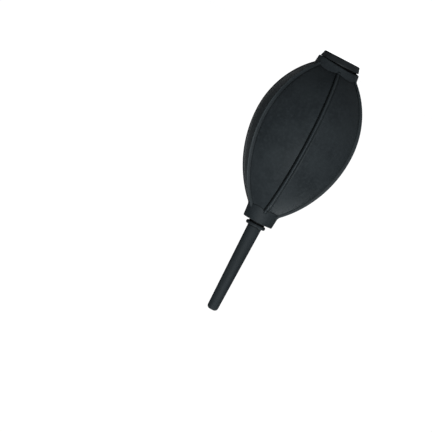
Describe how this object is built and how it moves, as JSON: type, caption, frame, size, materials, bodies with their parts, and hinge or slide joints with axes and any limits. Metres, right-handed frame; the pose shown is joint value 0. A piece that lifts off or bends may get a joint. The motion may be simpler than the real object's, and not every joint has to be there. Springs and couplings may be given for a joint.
{
  "type": "dust blower bulb",
  "caption": "Hand-squeezed rubber dust blower: a ribbed bulb that draws filtered air in at its flat tail and blows it out of a tapered nozzle.",
  "frame": {"origin": "centre of the tail cap's flat outer face, on which the blower stands", "axes": "+Z along the bulb's axis to the nozzle's tip, -Y towards the panel that the thumb presses"},
  "size_m": [0.0596, 0.0538, 0.1471],
  "materials": {
    "bulb_silicone": "matt black-grey silicone with a soft sheen",
    "nozzle_plastic": "matt black-grey, finely eroded",
    "cap_plastic": "matt black, finely eroded",
    "insert_plastic": "black nylon, as moulded",
    "valve_silicone": "natural silicone, satin",
    "seal_rubber": "black nitrile, greased",
    "filter_felt": "off-white needled felt",
    "filter_screen": "punched stainless sheet"
  },
  "bodies": {
    "tail_cap": {"tail_cap": "cap_plastic", "tail_cap_seal": "seal_rubber", "filter_screen_outer": "filter_screen", "filter_felt": "filter_felt", "filter_screen_inner": "filter_screen", "filter_retainer": "insert_plastic"},
    "bulb": {"bulb_skin": "bulb_silicone", "nose_bushing": "insert_plastic", "outlet_valve_pin": "insert_plastic", "tail_insert": "insert_plastic", "intake_valve_pin": "insert_plastic"},
    "thumb_side": {"thumb_panel": "bulb_silicone"},
    "finger_side": {"finger_panel": "bulb_silicone"},
    "nozzle_seal": {"nozzle_seal": "seal_rubber"},
    "nozzle": {"nozzle": "nozzle_plastic"},
    "intake_flap": {"intake_valve_flap": "valve_silicone"},
    "outlet_flap": {"outlet_valve_flap": "valve_silicone"}
  },
  "joints": [
    {"name": "tail_cap_pull", "type": "slide", "parent": "tail_cap", "child": "bulb", "axis": [0, 0, 1], "range_m": [0, 0.012]},
    {"name": "thumb_squeeze", "type": "slide", "parent": "bulb", "child": "thumb_side", "axis": [0, 1, 0], "range_m": [0, 0.012], "stiffness_N_per_m": 700},
    {"name": "finger_squeeze", "type": "slide", "parent": "bulb", "child": "finger_side", "axis": [0, -1, 0], "range_m": [0, 0.012], "stiffness_N_per_m": 700},
    {"name": "nozzle_pull", "type": "slide", "parent": "bulb", "child": "nozzle_seal", "axis": [0, 0, 1], "range_m": [0, 0.012]},
    {"name": "nozzle_swivel", "type": "hinge", "parent": "nozzle_seal", "child": "nozzle", "pos_m": [0, 0, 0.0964], "axis": [0, 0, 1], "continuous": true},
    {"name": "intake_flap_lift", "type": "slide", "parent": "bulb", "child": "intake_flap", "axis": [0, 0, 1], "range_m": [0, 0.0008], "stiffness_N_per_m": 5},
    {"name": "outlet_flap_lift", "type": "slide", "parent": "bulb", "child": "outlet_flap", "axis": [0, 0, 1], "range_m": [0, 0.0008], "stiffness_N_per_m": 5}
  ],
  "couplings": [
    {"joint": "finger_squeeze", "follows": "thumb_squeeze", "ratio": 1}
  ]
}
